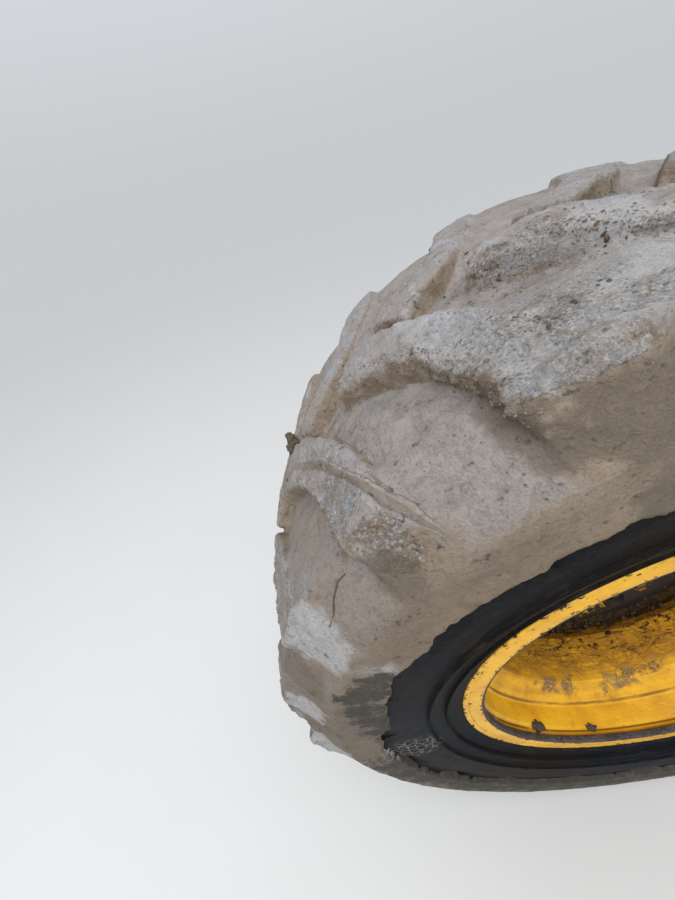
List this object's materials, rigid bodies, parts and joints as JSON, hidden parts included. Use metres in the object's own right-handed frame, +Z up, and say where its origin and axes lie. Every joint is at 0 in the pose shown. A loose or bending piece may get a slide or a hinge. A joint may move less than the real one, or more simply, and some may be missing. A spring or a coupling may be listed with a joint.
{
  "type": "forestry machine wheel with planetary hub",
  "caption": "Wide lugged off-road wheel: chevron-lugged tyre on a deep drop-centre rim, dished disc and planetary hub that turns on a flanged spindle.",
  "frame": {"origin": "on the wheel axis, in the face of the spindle flange that bolts to the machine", "axes": "+Y along the wheel axis towards the machine, so the wheel's outer side faces -Y; +Z up; X along the way the wheel rolls"},
  "size_m": [1.34, 0.7, 1.3397],
  "materials": {
    "machine_paint": "dark blue-black machine paint, dusty",
    "seal_rubber": "matt black",
    "bare_steel": "oiled bare steel",
    "hub_iron": "yellow paint over cast iron, dirty",
    "bolt_steel": "zinc plated, dull and dirty",
    "rim_paint": "yellow paint, chipped and muddy",
    "valve_metal": "dull brass",
    "valve_plastic": "black",
    "tyre": "black rubber, washed clean round the rim",
    "mud": "dried grey-brown mud, granular on the lug tops"
  },
  "bodies": {
    "spindle": {"spindle_housing": "machine_paint", "shaft_seal": "seal_rubber"},
    "shaft": {"drive_shaft": "bare_steel"},
    "wheel": {"hub_drum": "hub_iron", "gear_ring": "hub_iron", "hub_cover": "hub_iron", "cover_bolts": "bolt_steel", "cover_plugs": "bolt_steel", "wheel_nuts": "bolt_steel", "wheel_disc": "rim_paint", "rim_base": "rim_paint", "outer_ring": "rim_paint", "inner_ring": "rim_paint", "valve_stem": "valve_metal", "valve_cap": "valve_plastic", "tyre": "tyre", "caked_mud": "mud"}
  },
  "joints": [
    {"name": "wheel_spin", "type": "hinge", "parent": "spindle", "child": "wheel", "pos_m": [0, 0, 0], "axis": [0, 1, 0], "continuous": true},
    {"name": "shaft_spin", "type": "hinge", "parent": "spindle", "child": "shaft", "pos_m": [0, 0, 0], "axis": [0, 1, 0], "continuous": true}
  ],
  "couplings": [
    {"joint": "shaft_spin", "follows": "wheel_spin", "ratio": 5}
  ]
}
